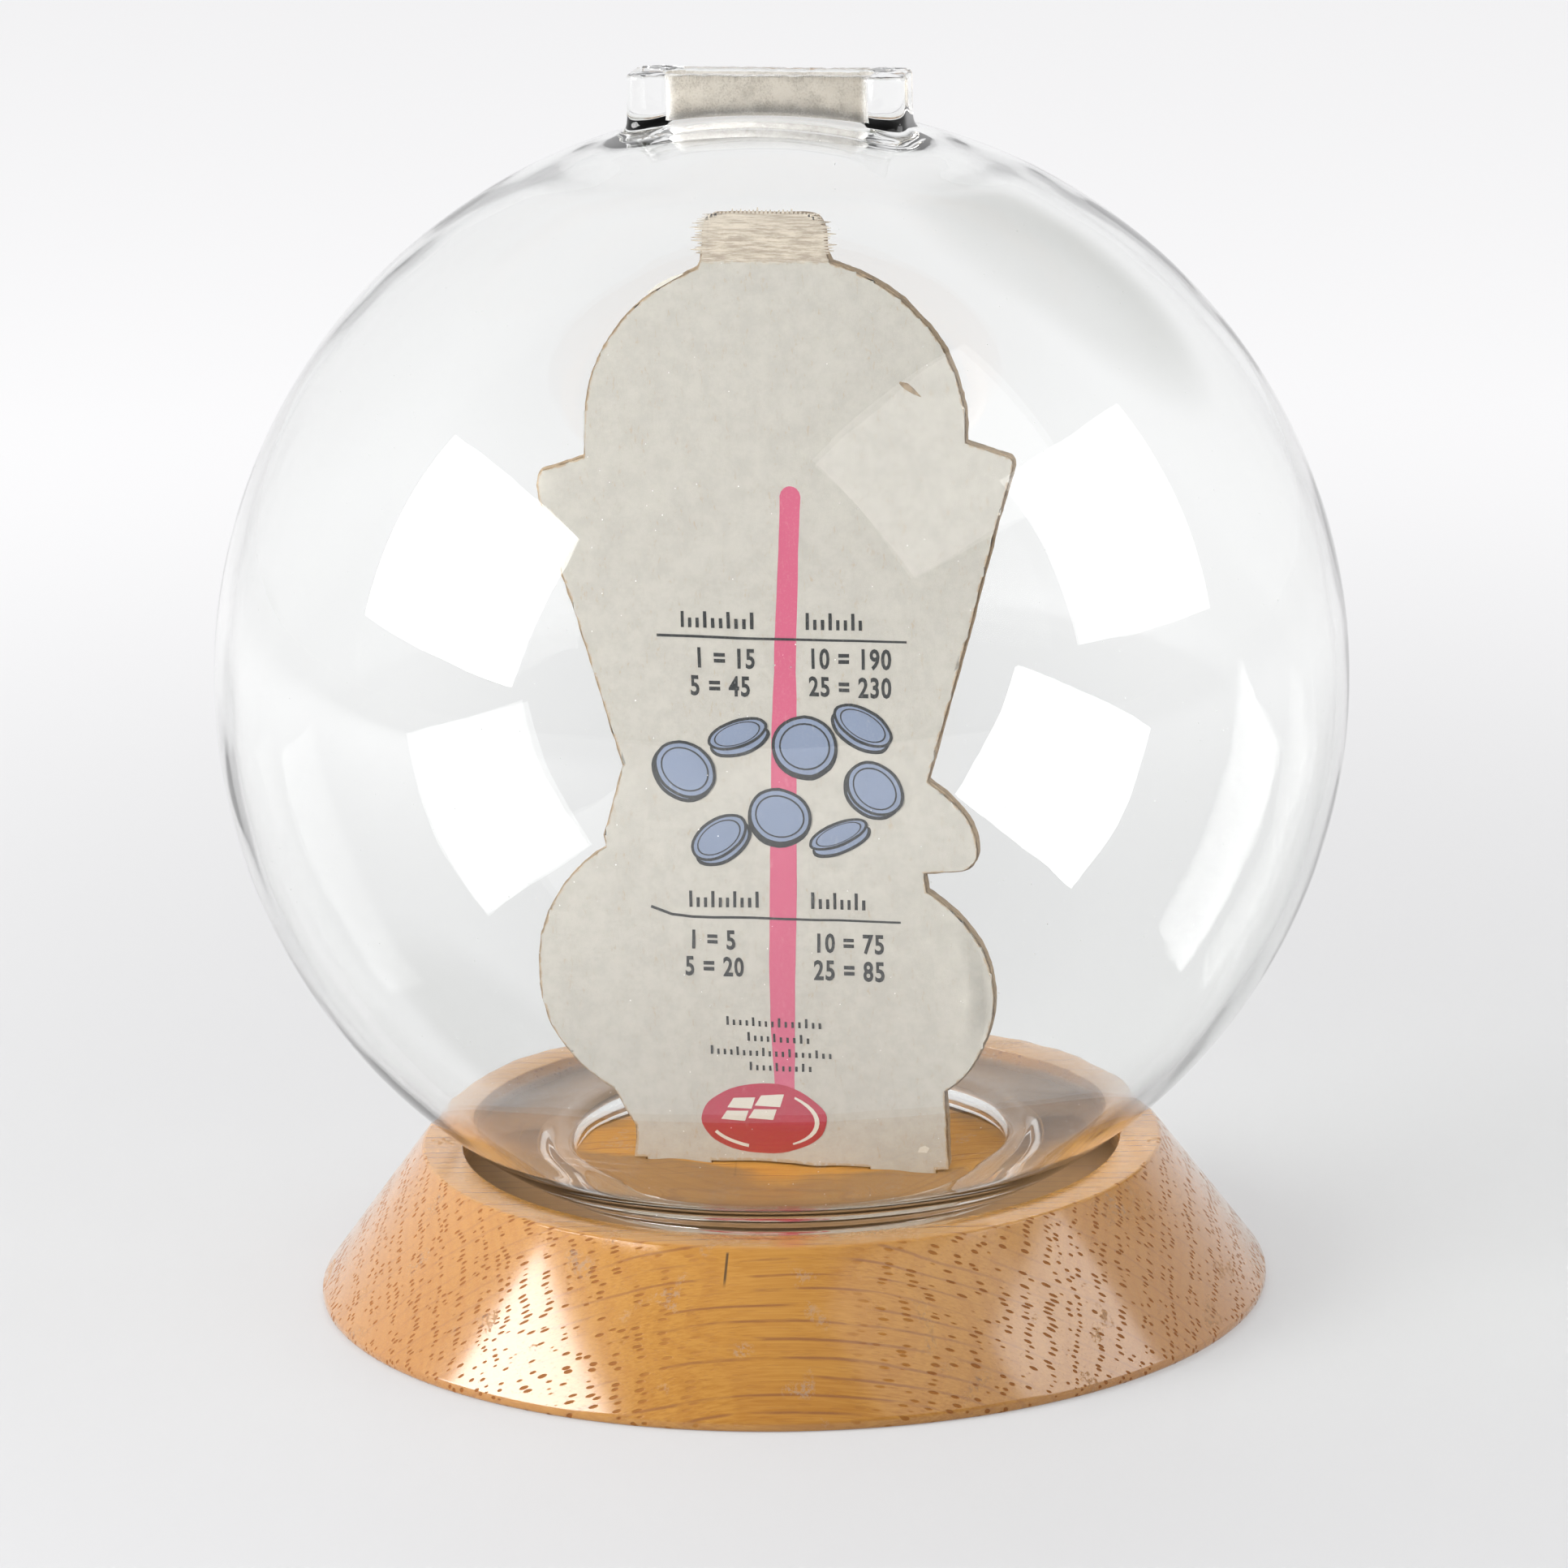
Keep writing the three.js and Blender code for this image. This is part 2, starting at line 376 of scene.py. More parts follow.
def oak():
    """Varnished oak in three dimensions: growth rings, rows of open pores, rays and fibres."""
    made, tree, shader = new_material("oak_varnished", ior=1.5, coat_roughness=0.13, coat_ior=1.58,
                                      specular_ior_level=0.15)
    turned = add(tree, "Mapping", (), {"Vector": millimetres(tree), "Rotation": (0, 0, -GRAIN_TURN)})
    laid = add(tree, "Mapping", (), {"Vector": turned.outputs[0], "Rotation": (RING_TILT, 0, 0)}).outputs[0]

    # The tree's own unevenness, slow along the fibres
    slow = vector_node(tree, "MULTIPLY", laid, (0.012, 0.05, 0.05))
    sway = vector_node(tree, "SUBTRACT", speckle(tree, slow, 1.0, 2.0).outputs["Color"], (0.5, 0.5, 0.5))
    warped = vector_node(tree, "ADD", laid, vector_node(tree, "MULTIPLY", sway, (0, 5, 7)))
    parts = add(tree, "SeparateXYZ", (), {0: warped}).outputs
    bow = math_node(tree, "DIVIDE", math_node(tree, "POWER", parts["Y"], 2.0), 2.0 * PITH_DISTANCE)
    depth = plus(tree, parts["Z"], bow)
    spread = mottle(tree, add(tree, "CombineXYZ", (), {"Z": depth}).outputs[0], 0.22, 1.0)
    years = math_node(tree, "DIVIDE", depth, RING_SPACING)
    years = plus(tree, years, times(tree, spread, 2.2))
    season = math_node(tree, "FRACT", years)
    early = times(tree, span(tree, season, 0.0, 0.08), span(tree, season, 0.34, 0.56, 1.0, 0.0))

    def cells(x, y, z, kind="TexVoronoi"):
        scaled = add(tree, "CombineXYZ", (), {
            "X": math_node(tree, "DIVIDE", parts["X"], x),
            "Y": math_node(tree, "DIVIDE", parts["Y"], y),
            "Z": math_node(tree, "DIVIDE", depth, z),
        }).outputs[0]
        if kind == "TexVoronoi":
            return add(tree, kind, (), {"Vector": scaled, "Scale": 1.0}).outputs["Distance"]
        return mottle(tree, scaled, 1.0, 3.0, 0.6)

    # One row of pores to each year's growth, each row shifted along from the last
    row = math_node(tree, "FLOOR", plus(tree, years, 0.25))
    along = math_node(tree, "DIVIDE", parts["Y"], PORE_STEP)
    along = plus(tree, along, times(tree, row, ROW_SHIFT))
    lengthwise = math_node(tree, "DIVIDE", parts["X"], PORE_LENGTH)
    rows = add(tree, "CombineXYZ", (), {"X": lengthwise, "Y": along, "Z": years})
    rows = add(tree, "TexVoronoi", (), {"Vector": rows.outputs[0], "Scale": 1.0, "Randomness": 0.5})

    # Where the fibres meet the surface head on, the pores are open dots, and they close up along it
    normal = add(tree, "TexCoord").outputs["Normal"]
    fibre = (math.cos(GRAIN_TURN), math.sin(GRAIN_TURN), 0)
    facing = math_node(tree, "ABSOLUTE", vector_node(tree, "DOT_PRODUCT", normal, fibre))
    big = span(tree, rows.outputs["Distance"], 0.20, 0.32, 1.0, 0.0)
    big = times(tree, big, span(tree, facing, 0.06, 0.34, 0.12, 1.0))
    small = span(tree, cells(6, 0.34, 0.30), 0.16, 0.30, 1.0, 0.0)
    pores = math_node(tree, "MAXIMUM", big, times(tree, small, 0.22))
    threads = cells(22, 0.30, 0.30, "TexNoise")
    board = cells(70, 26, 9, "TexNoise")

    # Rays: thin sheets that stand across the rings
    shifted = plus(tree, math_node(tree, "DIVIDE", parts["Y"], RAY_STEP), times(tree, board, 0.7))
    middle = math_node(tree, "ABSOLUTE", minus(tree, math_node(tree, "FRACT", shifted), 0.5))
    broken = span(tree, cells(16, RAY_STEP, 26, "TexNoise"), 0.42, 0.56)
    rays = times(tree, span(tree, middle, 0.02, 0.13, 1.0, 0.0), broken)
    rays = times(tree, rays, span(tree, facing, 0.05, 0.5, 0.85, 0.30))

    # End grain drinks the varnish and goes brown
    end = span(tree, facing, 0.2, 0.8)

    colour = blend(tree, span(tree, threads, 0.3, 0.7), OAK_LIGHT, OAK_DARK)
    worn = use(tree, HANDLING, 1.6)
    for mask, tone in (
        (span(tree, board, 0.3, 0.7, 0.0, 0.55), OAK_BOARD),
        (times(tree, end, 0.55), OAK_END),
        (times(tree, early, 0.18), OAK_EARLY),
        (rays, OAK_RAY),
        (times(tree, pores, 0.8), OAK_PORE),
        (times(tree, worn["Scuffs"], 0.5), SCUFFED),
    ):
        colour = blend(tree, mask, colour, tone)

    # Painted shade in the recess under the glass, darkening the oak nearly to the middle in front of the card
    place = millimetres(tree)
    spot = add(tree, "SeparateXYZ", (), {0: place}).outputs
    flat = add(tree, "CombineXYZ", (), {"X": spot["X"], "Y": spot["Y"]}).outputs[0]
    radius = add(tree, "VectorMath", {"operation": "LENGTH"}, {0: flat}).outputs["Value"]
    sunk = span(tree, spot["Z"], base_high.z - 4.0, base_high.z - 2.0, 1.0, 0.0)
    recess = times(tree, sunk, span(tree, radius, RECESS_RADIUS - 0.2, RECESS_RADIUS + 1, 1.0, 0.0))
    swept = span(tree, spot["Y"], -5, 3, MOUTH_RADIUS - 27, MOUTH_RADIUS)
    patchy = minus(tree, mottle(tree, place, 0.16, 3.0), 0.5)
    outside = plus(tree, minus(tree, radius, swept), times(tree, patchy, 14))
    recess_shade = times(tree, span(tree, outside, -2, 6), recess)
    colour = blend(tree, times(tree, recess_shade, 0.78), colour, RECESS_SHADE)

    # One pencil tick at the front, from the land's edge down
    across = math_node(tree, "ABSOLUTE", minus(tree, spot["X"], TICK_X))
    tick = span(tree, across, 0.12, 0.24, 1.0, 0.0)
    tick = times(tree, tick, span(tree, spot["Z"], TICK_FOOT, TICK_FOOT + 1.5))
    tick = times(tree, tick, span(tree, spot["Z"], base_high.z - 0.9, base_high.z - 0.5, 1.0, 0.0))
    tick = times(tree, tick, span(tree, spot["Y"], -LAND_RADIUS + 1, -LAND_RADIUS + 2, 1.0, 0.0))
    colour = blend(tree, times(tree, tick, 0.8), colour, PENCIL)
    tree.links.new(colour, shader.inputs["Base Color"])

    # The recess was left unvarnished
    bare = times(tree, recess, 0.6)
    open_pores = math_node(tree, "MAXIMUM", math_node(tree, "MAXIMUM", pores, worn["Scuffs"]), bare)
    rough = span(tree, open_pores, 0.0, 0.6, 0.22, 0.62)
    rough = plus(tree, rough, times(tree, worn["Smears"], 0.06))
    tree.links.new(rough, shader.inputs["Roughness"])
    tree.links.new(span(tree, open_pores, 0.1, 0.5, 1.0, 0.0), shader.inputs["Coat Weight"])
    relief = minus(tree, times(tree, threads, 0.25), pores)
    tree.links.new(bump(tree, relief, 0.10, 0.8), shader.inputs["Normal"])
    return made


def let_lamps_through(tree, shader, tint):
    """Shadow rays pass the glass, so that the lamps light what stands behind it."""
    clear = add(tree, "BsdfTransparent", (), {"Color": tint})
    path = add(tree, "LightPath").outputs["Is Shadow Ray"]
    both = add(tree, "MixShader", (), {0: path, 1: shader.outputs[0], 2: clear.outputs[0]})
    tree.links.new(both.outputs[0], tree.nodes["Material Output"].inputs["Surface"])


def clear_glass():
    """Soda-lime glass blown in a mould: slow waves, faint smears and a few specks of dust."""
    made, tree, shader = new_material("globe_glass", base_color=(0.995, 1.0, 0.994, 1), ior=1.5,
                                      transmission_weight=1.0)
    marks = use(tree, HANDLING, 1.0)
    soiled = math_node(tree, "MAXIMUM", times(tree, marks["Smears"], 0.03), marks["Dust"])
    tree.links.new(times(tree, soiled, 0.6, True), shader.inputs["Roughness"])
    waves = mottle(tree, millimetres(tree, (1, 1, 1.6)), 0.055, 1.5, 0.4)
    tree.links.new(bump(tree, waves, 0.4, 0.25), shader.inputs["Normal"])
    let_lamps_through(tree, shader, (0.93, 0.94, 0.93, 1))
    return made


def frosted_glass():
    """The slot's walls as they left the mould: grainy, with grey dirt worked into the grain, and painted
    shade that darkens them lower down in the slot.
    """
    made, tree, shader = new_material("slot_glass", ior=1.5, transmission_weight=1.0)
    place = millimetres(tree)
    grain = mottle(tree, place, 3.2, 4.0, 0.75)
    cloud = mottle(tree, place, 0.35, 2.0)
    height = add(tree, "SeparateXYZ", (), {0: place}).outputs["Z"]
    # Painted shade: lower in the slot the walls are painted darker, added to the dirt
    low = span(tree, height, globe_high.z - 8.0, globe_high.z - 4.0, 0.42, 0.0)
    dirt_and_shade = span(tree, plus(tree, plus(tree, grain, cloud), low), 0.85, 1.3)
    colour = blend(tree, dirt_and_shade, (0.72, 0.65, 0.54, 1), (0.31, 0.265, 0.20, 1))
    tree.links.new(colour, shader.inputs["Base Color"])
    tree.links.new(span(tree, grain, 0.3, 0.7, 0.35, 0.75), shader.inputs["Roughness"])
    tree.links.new(bump(tree, grain, 0.12, 0.8), shader.inputs["Normal"])
    let_lamps_through(tree, shader, (0.68, 0.63, 0.55, 1))
    return made


def paper(name, tone, fleck, crushed, torn_above=1e6):
    """Aged uncoated paper: cloudy, flecked, and rubbed brown along its cut edge.

    Above the height torn_above the sheet's skin is torn away and scuffed board shows.
    """
    made, tree, shader = new_material(name, specular_ior_level=0.3, sheen_weight=0.15, sheen_roughness=0.5)
    pulp = use(tree, PULP, 1.0)
    edge = add(tree, "Attribute", {"attribute_name": "cut_edge"}).outputs["Fac"]
    ragged = mottle(tree, millimetres(tree), 1.1, 3.0, 0.7)
    rubbed = times(tree, edge, span(tree, ragged, 0.25, 0.65, 0.35, 1.3))
    dark = [0.88 * c for c in tone[:3]] + [1]
    colour = blend(tree, pulp["Cloud"], tone, dark)
    colour = blend(tree, times(tree, pulp["Specks"], 0.75), colour, fleck)
    colour = blend(tree, span(tree, rubbed, 0.35, 0.95, 0.0, 0.85), colour, crushed)
    dragged = mottle(tree, millimetres(tree, (3.2, 1, 0.34)), 1.0, 4.0, 0.75)
    height = add(tree, "SeparateXYZ", (), {0: millimetres(tree)}).outputs["Z"]
    tear = plus(tree, height, times(tree, ragged, 1.2))
    torn = span(tree, tear, torn_above, torn_above + 0.5)
    board = blend(tree, span(tree, dragged, 0.35, 0.65), (0.30, 0.24, 0.18, 1), (0.56, 0.49, 0.40, 1))
    colour = blend(tree, times(tree, torn, 0.9), colour, board)
    tree.links.new(colour, shader.inputs["Base Color"])
    tree.links.new(span(tree, pulp["Cloud"], 0.0, 1.0, 0.78, 0.9), shader.inputs["Roughness"])
    tree.links.new(bump(tree, pulp["Height"], 0.03, 0.6), shader.inputs["Normal"])
    return made


def chipboard():
    """Raw grey-brown board where it is cut: matted layers that run along the cut."""
    made, tree, shader = new_material("chipboard_cut", specular_ior_level=0.2)
    layers = mottle(tree, millimetres(tree, (1.4, 0.22, 1.4)), 1.0, 4.0, 0.7)
    pulp = use(tree, PULP, 2.0)
    colour = blend(tree, span(tree, layers, 0.3, 0.7), (0.36, 0.265, 0.17, 1), (0.19, 0.135, 0.085, 1))
    colour = blend(tree, times(tree, pulp["Specks"], 0.6), colour, (0.52, 0.44, 0.33, 1))
    tree.links.new(colour, shader.inputs["Base Color"])
    tree.links.new(span(tree, layers, 0.2, 0.8, 0.85, 0.98), shader.inputs["Roughness"])
    tree.links.new(bump(tree, layers, 0.12, 0.9), shader.inputs["Normal"])
    return made


def ink(name, tone, worn_tone, cover=0.9, lip_reflection_below=None):
    """Flat letterpress ink, thinner where the paper's fibres stand proud.

    Below the given height, if there is one, it is painted darker and redder: a painted reflection from the
    glass's lip.
    """
    made, tree, shader = new_material(name, specular_ior_level=0.35)
    pulp = use(tree, PULP, 1.0)
    fine = mottle(tree, millimetres(tree), 3.0, 3.0, 0.7)
    thin = times(tree, span(tree, fine, 0.48, 0.72), 1 - cover)
    thin = plus(tree, thin, times(tree, pulp["Specks"], 0.35), True)
    colour = blend(tree, thin, tone, worn_tone)
    if lip_reflection_below:
        # Painted reflection: below that height the ink is darkened and reddened, as the glass's lip shows it
        height = add(tree, "SeparateXYZ", (), {0: millimetres(tree)}).outputs["Z"]
        lip_reflection = span(tree, height, lip_reflection_below - 1.5, lip_reflection_below + 1.5, 0.75, 0.0)
        colour = blend(tree, lip_reflection, colour, [0.85 * tone[0], 0.6 * tone[1], 0.36 * tone[2], 1])
    tree.links.new(colour, shader.inputs["Base Color"])
    tree.links.new(span(tree, fine, 0.3, 0.7, 0.55, 0.75), shader.inputs["Roughness"])
    tree.links.new(bump(tree, pulp["Height"], 0.02, 0.5), shader.inputs["Normal"])
    return made


# ---------- Base ----------


def make_base(material):
    """Turned from a disc: foot band, cone, land, recess and the two grooves for the card's tabs."""
    deselect()
    bpy.ops.mesh.primitive_circle_add(vertices=BASE_SEGMENTS, radius=BASE_RADIUS * MM, fill_type="NGON")
    base = bpy.context.object
    edit(base, "FACE")
    bpy.ops.mesh.select_all(action="SELECT")
    bpy.ops.mesh.extrude_region_move(TRANSFORM_OT_translate={"value": (0, 0, BASE_FOOT * MM)})
    cone = base_high.z - BASE_FOOT
    bpy.ops.mesh.extrude_region_move(TRANSFORM_OT_translate={"value": (0, 0, cone * MM)})
    shrink = LAND_RADIUS / BASE_RADIUS
    bpy.ops.transform.resize(value=(shrink, shrink, 1))
    bpy.ops.mesh.inset(thickness=LAND_WIDTH * MM)
    bpy.ops.mesh.extrude_region_move(TRANSFORM_OT_translate={"value": (0, 0, -RECESS_DEPTH * MM)})
    done()
    face_outwards(base)
    for side in (-1, 1):
        cut_groove(base, side)
    round_base_edges(base)
    smooth(base, 32)
    return settle(base, "turned_base", "base", "wood_base", slot="oak", material=material)


def cut_groove(base, side):
    length = TAB_LENGTH + 2 * CARD_GAP
    width = CARD_FACE * -2 + 2 * CARD_GAP
    middle = side * (TAB_OUTER - TAB_LENGTH / 2)
    deselect()
    bpy.ops.mesh.primitive_cube_add(size=1, location=(middle * MM, 0, RECESS_FLOOR * MM),
                                    scale=(length * MM, width * MM, 2 * TAB_DEPTH * MM))
    cutter = bpy.context.object
    apply(base, "BOOLEAN", object=cutter, operation="DIFFERENCE", solver="EXACT")
    only(cutter)
    bpy.ops.object.delete()


def round_base_edges(base):
    """A small radius on each turned edge, as a tool and sandpaper leave it."""
    edges = [
        (BASE_RADIUS, 0, 0.6),
        (BASE_RADIUS, BASE_FOOT, 0.35),
        (LAND_RADIUS, base_high.z, 0.45),
        (RECESS_RADIUS, base_high.z, 0.3),
    ]
    for radius, height, width in edges:
        def near(v, radius=radius, height=height):
            return abs(v.co.xy.length / MM - radius) < 0.05 and abs(v.co.z / MM - height) < 0.02

        def on_edge(e, near=near):
            return all(near(v) for v in e.verts)

        edit(base, "EDGE")
        pick(base, "edges", on_edge)
        bpy.ops.mesh.bevel(offset=width * MM, segments=3, affect="EDGES")
        done()


# ---------- Globe ----------


def arc(x, z, radius, start, end, count):
    """count + 1 points (radius from the axis, height above the globe's centre) along an arc."""
    angles = [start + (end - start) * i / count for i in range(count + 1)]
    return [(x + radius * math.cos(a), z + radius * math.sin(a)) for a in angles]


def circle(radius, height):
    turns = [2 * math.pi * i / GLOBE_COLUMNS for i in range(GLOBE_COLUMNS)]
    return [Vector((radius * math.cos(a), radius * math.sin(a), height)) for a in turns]


def oblong(half_length, half_width, corner, grow=0.0, bulge=0.0):
    """A rounded rectangle in plan, in even steps from its +X end, grown on all sides.

    bulge swells its two ends.
    """
    x, y = half_length - corner, half_width - corner
    radius = corner + grow
    fine = []
    for i, (sx, sy) in enumerate([(1, 1), (-1, 1), (-1, -1), (1, -1)]):
        for step in range(13):
            a = (i + step / 12) * math.pi / 2
            fine.append(Vector((sx * x + radius * math.cos(a), sy * y + radius * math.sin(a), 0)))
    fine = [Vector((fine[0].x, 0, 0))] + fine + [Vector((fine[0].x, 0, 0))]
    lengths = [0.0]
    for a, b in zip(fine, fine[1:]):
        lengths.append(lengths[-1] + (b - a).length)
    ring = []
    k = 0
    for i in range(GLOBE_COLUMNS):
        at = lengths[-1] * i / GLOBE_COLUMNS
        while lengths[k + 1] < at:
            k += 1
        share = (at - lengths[k]) / max(lengths[k + 1] - lengths[k], 1e-9)
        p = fine[k].lerp(fine[k + 1], share)
        swell = bulge * ramp(abs(p.x), SLOT_LENGTH / 2 - 1.2, SLOT_LENGTH / 2 + 1.2)
        p.y += math.copysign(swell, p.y) if p.y else 0
        ring.append(p)
    return ring


def on_sphere(ring, radius, lift=0.0):
    return [Vector((p.x, p.y, math.sqrt(radius ** 2 - p.x ** 2 - p.y ** 2) + lift)) for p in ring]


def at_height(ring, height):
    return [Vector((p.x, p.y, height)) for p in ring]


def globe_rings():
    """Closed loops round the glass: down its inside, round the lip, up its outside and in at the slot."""
    lip_x = MOUTH_RADIUS + LIP_RADIUS
    lip_z = -math.sqrt((GLOBE_RADIUS - LIP_RADIUS) ** 2 - lip_x ** 2)
    lip_angle = math.atan2(lip_z, lip_x)
    reach = INNER_RADIUS - LIP_FILLET
    apart = LIP_RADIUS + LIP_FILLET
    lip_reach = GLOBE_RADIUS - LIP_RADIUS
    turn = math.acos((reach ** 2 + lip_reach ** 2 - apart ** 2) / (2 * reach * lip_reach))
    fillet_angle = lip_angle + turn
    fillet_x, fillet_z = reach * math.cos(fillet_angle), reach * math.sin(fillet_angle)
    back = math.atan2(lip_z - fillet_z, lip_x - fillet_x)
    profile = arc(0, 0, INNER_RADIUS, CROWN_ANGLE, fillet_angle, 19)
    profile += arc(fillet_x, fillet_z, LIP_FILLET, fillet_angle, back, 8)[1:]
    profile += arc(lip_x, lip_z, LIP_RADIUS, back + math.pi, lip_angle + 2 * math.pi, 8)[1:]
    profile += arc(0, 0, GLOBE_RADIUS, lip_angle, CROWN_ANGLE, 21)[1:]
    rings = [circle(radius, height) for radius, height in profile]

    # Crown outside, the collar's foot, wall and rim
    rim = GLOBE_RADIUS + COLLAR_RISE
    half_length = SLOT_LENGTH / 2 + POST_LENGTH
    half_width = SLOT_WIDTH / 2 + COLLAR_WALL

    def collar(grow):
        return oblong(half_length, half_width, POST_CORNER, grow, POST_BULGE)

    def slot(grow):
        return oblong(SLOT_LENGTH / 2, SLOT_WIDTH / 2, SLOT_CORNER, grow)

    edge = circle(GLOBE_RADIUS * math.cos(CROWN_ANGLE), 0)
    foot = collar(2.6)
    for share in (0.7, 0.4, 0.15):
        rings.append(on_sphere([a.lerp(b, share) for a, b in zip(foot, edge)], GLOBE_RADIUS))
    for grow, lift in ((1.7, 0.0), (0.7, 0.25), (0.15, 0.9), (0.0, 2.0)):
        rings.append(on_sphere(collar(grow), GLOBE_RADIUS, lift))
    for grow, drop in ((0.0, 1.4), (0.0, 0.6), (-0.16, 0.14), (-0.6, 0.0)):
        rings.append(at_height(collar(grow), rim - drop))
    for grow, drop in ((0.5, 0.0), (0.12, 0.12), (0.0, 0.5), (0.0, 2.0), (0.0, 4.0), (0.0, 6.0)):
        rings.append(at_height(slot(grow), rim - drop))

    # Under the slot the glass thickens, then runs out into the inner sphere
    edge = circle(INNER_RADIUS * math.cos(CROWN_ANGLE), 0)
    for grow, lift in ((0.1, 0.5), (0.5, -0.1), (1.4, -0.45), (3.2, -0.5)):
        rings.append(on_sphere(slot(grow), INNER_RADIUS, lift))
    foot = slot(5.0)
    for share, lift in ((0.0, -0.35), (0.25, -0.05), (0.5, -0.25), (0.8, 0.0)):
        rings.append(on_sphere([a.lerp(b, share) for a, b in zip(foot, edge)], INNER_RADIUS, lift))
    return rings


def make_globe(clear, frosted):
    rings = globe_rings()
    deselect()
    bpy.ops.mesh.primitive_circle_add(vertices=GLOBE_COLUMNS, radius=INNER_RADIUS * MM, location=CENTRE * MM)
    globe = bpy.context.object
    edit(globe, "VERT")
    bm = bmesh.from_edit_mesh(globe.data)
    column = {}
    for v in bm.verts:
        i = round(math.atan2(v.co.y, v.co.x) / (2 * math.pi) * GLOBE_COLUMNS) % GLOBE_COLUMNS
        column[v] = i
        v.co = rings[0][i] * MM
    bpy.ops.mesh.select_all(action="SELECT")
    for ring in rings[1:]:
        bpy.ops.mesh.extrude_region_move()
        bm = bmesh.from_edit_mesh(globe.data)
        for v in [v for v in bm.verts if v.select]:
            below = next(e.other_vert(v) for e in v.link_edges if not e.other_vert(v).select)
            column[v] = column[below]
            v.co = ring[column[v]] * MM
        bmesh.update_edit_mesh(globe.data)
    bpy.ops.mesh.select_mode(type="EDGE")
    pick(globe, "edges", lambda e: e.is_boundary)
    bpy.ops.mesh.bridge_edge_loops()
    done()
    face_outwards(globe)
    apply(globe, "SUBSURF", levels=2, render_levels=2)
    weather_glass(globe)
    settle(globe, "blown_globe", "globe", "glass_globe", slot="clear_glass", material=clear)
    globe.data.materials.append(frosted)
    for face in globe.data.polygons:
        p = face.center / MM - CENTRE
        in_slot = abs(p.y) < SLOT_WIDTH / 2 + 0.05 and abs(p.x) < SLOT_LENGTH / 2 + 0.05
        if in_slot and INNER_RADIUS + 0.6 < p.z < GLOBE_RADIUS + COLLAR_RISE - 0.4:
            face.material_index = 1
    smooth(globe, 180)
    return globe


def weather_glass(globe):
    """The inner wall drifts a little in thickness, and the slot's rim is uneven from the mould."""
    rim = GLOBE_RADIUS + COLLAR_RISE
    above_lip = -68
    moves = []
    for v in globe.data.vertices:
        p = v.co / MM
        inner = 1 if p.length < GLOBE_RADIUS - 0.6 * GLOBE_WALL and p.z > above_lip else 0
        drift = 0.10 * noise.noise(p / 32) + 0.02 * noise.noise(p / 11)
        worn = ramp(p.z, rim - 1.2, rim - 0.1)
        drop = 0.22 * worn * abs(noise.noise(p / 1.3)) + 0.1 * worn * abs(noise.noise(p / 5))
        moves.append(v.normal * drift * inner - Vector((0, 0, drop)))
    shift(globe.data, moves)


# ---------- Card ----------


def make_layer(node, name, slot, material, levels, fray, wear=0.0):
    """One layer of the card, refined from its CAD outline: gridded faces and a frayed, crushed cut edge."""
    deselect()
    layer = bpy.data.objects.new(name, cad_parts[node].data.copy())
    bpy.context.scene.collection.objects.link(layer)
    edit(layer, "VERT")
    bpy.ops.mesh.select_all(action="SELECT")
    bpy.ops.mesh.remove_doubles(threshold=0.002 * MM)
    bpy.ops.mesh.dissolve_limited(angle_limit=math.radians(0.5))
    bpy.ops.mesh.select_mode(type="FACE")
    pick(layer, "faces", lambda f: abs(f.normal.y) > 0.9)
    bpy.ops.mesh.inset(thickness=EDGE_INSET * MM, use_boundary=True, use_even_offset=True)
    low, high = sides(node)
    for axis in (0, 2):
        normal = [0, 0, 0]
        normal[axis] = 1
        count = int((high[axis] - low[axis]) / GRID_STEP)
        for i in range(1, count + 1):
            at = [0, 0, 0]
            at[axis] = (low[axis] + GRID_STEP * (i - 0.41)) * MM
            bpy.ops.mesh.select_all(action="SELECT")
            bpy.ops.mesh.bisect(plane_co=at, plane_no=normal)
    for level in levels:
        bpy.ops.mesh.select_all(action="SELECT")
        bpy.ops.mesh.bisect(plane_co=(0, level * MM, 0), plane_no=(0, 1, 0))
    done()
    mark_cut_edge(layer)
    crush(layer, fray, wear)
    settle(layer, name, "card", node, slot=slot, material=material)
    return layer


def mark_cut_edge(layer):
    """cut_edge is 1 along the outline and 0 a little way in from it."""
    on_cut = [0.0] * len(layer.data.vertices)
    for face in layer.data.polygons:
        if abs(face.normal.y) < 0.5:
            for v in face.vertices:
                on_cut[v] = 1.0
    layer.data.attributes.new("cut_edge", "FLOAT", "POINT").data.foreach_set("value", on_cut)


def crush(layer, fray, wear):
    """Frays the outline and rubs it back by wear, dents the brim's tip and creases the belly's right.

    The tabs stay true.
    """
    moves = []
    for v, cut in zip(layer.data.vertices, layer.data.attributes["cut_edge"].data):
        p = v.co / MM
        move = Vector((0, 0, 0))
        free = ramp(p.z, CARD_FOOT + 0.5, CARD_FOOT + 3)
        out = Vector((v.normal.x, 0, v.normal.z))
        if cut.value > 0.5 and out.length > 0.1:
            ragged = noise.noise(Vector((p.x / 0.9, p.y / 0.35 + fray, p.z / 0.9)))
            wander = noise.noise(p / 6)
            move += out.normalized() * (0.16 * ragged + 0.10 * wander - 0.06 - wear) * free
        from_belly = p - BELLY
        inside = BELLY_RADIUS - from_belly.xz.length
        turn = math.degrees(math.atan2(from_belly.z, from_belly.x))
        along = ramp(turn, -34, -8) * ramp(-turn, -44, -22)
        pressed = ramp(-inside, -3.2, -1.2)
        ridge = ramp(-inside, -4.6, -3.2) * ramp(inside, 1.4, 3.0)
        if from_belly.x > 0:
            move.y += along * (0.55 * pressed - 0.30 * ridge)
        dent = ramp(-(p - BRIM_TIP).xz.length, -4.5, -0.5)
        move.y += 0.5 * dent * (1 if p.y < 0 else -0.2)
        move.y += 0.04 * free * noise.noise(Vector((p.x / 14, 0, p.z / 14)))
        moves.append(move)
    shift(layer.data, moves)


